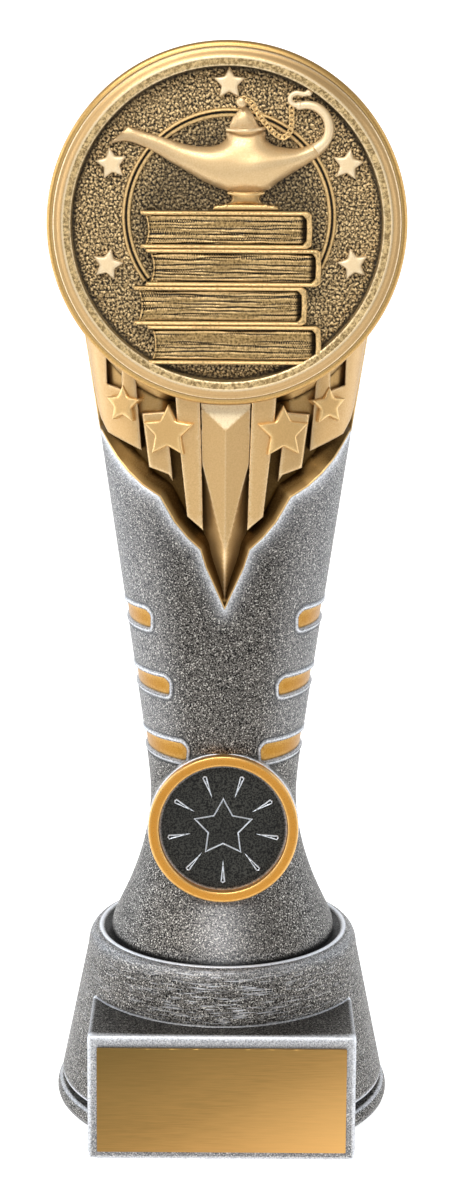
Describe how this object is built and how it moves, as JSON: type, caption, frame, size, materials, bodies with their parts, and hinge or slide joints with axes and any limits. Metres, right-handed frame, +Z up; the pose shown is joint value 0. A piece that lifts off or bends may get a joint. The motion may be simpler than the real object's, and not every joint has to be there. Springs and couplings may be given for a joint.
{
  "type": "column trophy",
  "caption": "Free-standing award: a round plinth with an engraving block, a flared column with a star burst, a medallion holder and a relief head of an oil lamp on books.",
  "frame": {"origin": "on the resting face, under the vertical axis of the column and the round plinth", "axes": "+Z up along the column; the front, with the plate and the relief, faces -Y; +X is to the viewer's right"},
  "size_m": [0.0704, 0.072, 0.2196],
  "materials": {
    "antique_silver": "cast resin, painted antique silver and wiped back",
    "antique_gold": "cast resin, painted satin gold with dark wash in its hollows",
    "bright_gold": "cast resin, painted smooth bright gold",
    "cream_gold": "cast resin, painted pale satin gold",
    "dark_bronze": "cast resin, dark bronze wash on a pebbled ground",
    "medallion_silver": "cast resin, dark antique silver, speckled",
    "plate_brass": "brushed, lacquered",
    "tape_foam": "white adhesive foam",
    "felt": "black felt",
    "cast_iron": "as cast",
    "zinc_steel": "zinc plated",
    "insert_brass": "knurled, unlacquered"
  },
  "bodies": {
    "root": {"foot_ring": "antique_silver", "plinth": "antique_silver", "base_weight": "cast_iron", "felt_pad": "felt", "tie_bolt": "zinc_steel", "bolt_washer": "zinc_steel", "threaded_insert": "insert_brass", "plate_tape": "tape_foam", "engraving_plate": "plate_brass", "column": "antique_silver", "medallion_ring": "bright_gold", "medallion_pad": "tape_foam", "medallion_disc": "medallion_silver", "slot_inlay_left_1": "bright_gold", "slot_inlay_left_2": "bright_gold", "slot_inlay_left_3": "bright_gold", "slot_inlay_right_1": "bright_gold", "slot_inlay_right_2": "bright_gold", "slot_inlay_right_3": "bright_gold", "burst_panel": "antique_gold", "burst_spike": "antique_gold", "ray_left_inner": "antique_gold", "ray_left_middle": "antique_gold", "ray_left_outer": "antique_gold", "ray_right_inner": "antique_gold", "ray_right_middle": "antique_gold", "ray_right_outer": "antique_gold", "burst_star_left_big": "cream_gold", "burst_star_left_small": "cream_gold", "burst_star_right_big": "cream_gold", "burst_star_right_small": "cream_gold", "head_dowels": "zinc_steel", "head_housing": "antique_gold", "head_rim": "cream_gold", "rim_liner": "dark_bronze", "relief_field": "dark_bronze", "relief_ring": "antique_gold", "book_1": "antique_gold", "book_2": "antique_gold", "book_3": "antique_gold", "book_4": "antique_gold", "lamp_foot": "cream_gold", "lamp_body": "cream_gold", "lamp_lid": "cream_gold", "lamp_handle": "cream_gold", "lamp_chain": "cream_gold", "field_star_1": "cream_gold", "field_star_2": "cream_gold", "field_star_3": "cream_gold", "field_star_4": "cream_gold", "field_star_5": "cream_gold"}
  },
  "joints": []
}
